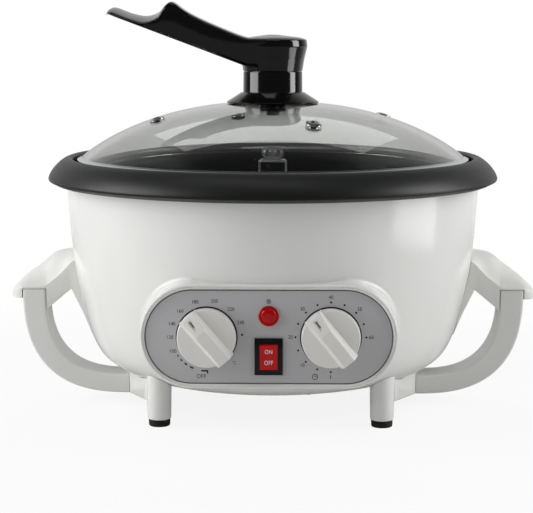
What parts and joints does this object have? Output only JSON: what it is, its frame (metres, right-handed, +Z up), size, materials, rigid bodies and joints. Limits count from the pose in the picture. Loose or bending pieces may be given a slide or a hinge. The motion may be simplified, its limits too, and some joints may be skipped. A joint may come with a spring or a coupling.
{
  "type": "home coffee bean roaster",
  "caption": "Countertop coffee bean roaster: bowl housing with heated pan, driven stirrer, two dials, switch, lamp, side handles, legs and a loose glass lid with a lever knob",
  "frame": {"origin": "on the ground below the pan's axis, at the middle of the footprint", "axes": "+Z up, +X to the right seen from the control panel, -Y towards the user"},
  "size_m": [0.3888, 0.33, 0.2969],
  "materials": {
    "white_shell": "satin moulded plastic",
    "grey_grip": "light grey satin moulded plastic",
    "silver_panel": "fine brushed metal plate",
    "black_ring": "speckled satin black",
    "black_gloss": "glossy moulded plastic",
    "black_matte": "matte moulded plastic",
    "non_stick": "dark non-stick coating",
    "lid_glass": "clear tempered glass",
    "steel": "plain satin steel",
    "dark_steel": "grey plated sheet and cast metal",
    "ivory": "pale satin plastic",
    "red_gloss": "translucent red plastic",
    "brass": "plain sintered brass",
    "rubber": "matte moulded rubber"
  },
  "bodies": {
    "base": {"housing": "white_shell", "control_panel": "silver_panel", "rim_ring": "black_ring", "roasting_pan": "non_stick", "pan_column": "non_stick", "thermostat_body": "dark_steel", "timer_body": "dark_steel", "indicator_lamp": "red_gloss", "rocker_frame": "black_matte", "leg_front_left": "white_shell", "leg_front_right": "white_shell", "leg_rear_left": "white_shell", "leg_rear_right": "white_shell", "foot_front_left": "rubber", "foot_front_right": "rubber", "foot_rear_left": "rubber", "foot_rear_right": "rubber", "handle_left_grip": "grey_grip", "handle_left_top": "white_shell", "handle_left_bracket": "white_shell", "handle_right_grip": "grey_grip", "handle_right_top": "white_shell", "handle_right_bracket": "white_shell", "base_cover": "dark_steel", "base_screw_1": "steel", "base_screw_2": "steel", "base_screw_3": "steel", "base_screw_4": "steel", "heating_element": "dark_steel", "heat_shield": "steel", "motor_plate": "dark_steel", "gear_motor": "dark_steel", "shaft_bushing": "brass", "thermal_cutout": "black_matte", "terminal_block": "ivory", "cord_gland": "rubber"},
    "lid": {"lid_glass": "lid_glass", "lid_rim_band": "steel", "lid_vent_eyelet_1": "steel", "lid_vent_eyelet_2": "steel", "lid_vent_eyelet_3": "steel", "lid_vent_eyelet_4": "steel", "lid_knob_washer": "rubber", "lid_knob_neck": "black_gloss", "lid_lever_handle": "black_gloss", "lid_knob_nut": "black_matte", "lid_knob_screw": "steel"},
    "stirrer": {"drive_shaft": "steel", "stirrer_hub": "black_matte", "stirrer_bracket": "steel", "stirrer_tab": "steel", "tab_screw_left": "steel", "tab_screw_right": "steel", "stirrer_blade_a": "steel", "stirrer_blade_b": "steel"},
    "temperature_control": {"temperature_knob": "ivory", "temperature_shaft": "steel"},
    "timer_control": {"timer_knob": "ivory", "timer_shaft": "steel"},
    "power_rocker": {"rocker_button": "red_gloss"}
  },
  "joints": [
    {"name": "lid_lift", "type": "slide", "parent": "base", "child": "lid", "axis": [0, 0, 1], "range_m": [0, 0.12]},
    {"name": "stirrer_spin", "type": "hinge", "parent": "base", "child": "stirrer", "pos_m": [0, 0, 0.1107], "axis": [0, 0, 1], "continuous": true},
    {"name": "temperature_turn", "type": "hinge", "parent": "base", "child": "temperature_control", "pos_m": [-0.0409, -0.151, 0.0758], "axis": [0, 1, 0], "range_deg": [-139, 127.5]},
    {"name": "timer_turn", "type": "hinge", "parent": "base", "child": "timer_control", "pos_m": [0.0409, -0.151, 0.0758], "axis": [0, 1, 0], "range_deg": [-141, 129]},
    {"name": "power_rocker_tilt", "type": "hinge", "parent": "base", "child": "power_rocker", "pos_m": [0, -0.1503, 0.0628], "axis": [-1, 0, 0], "range_deg": [0, 14]}
  ]
}
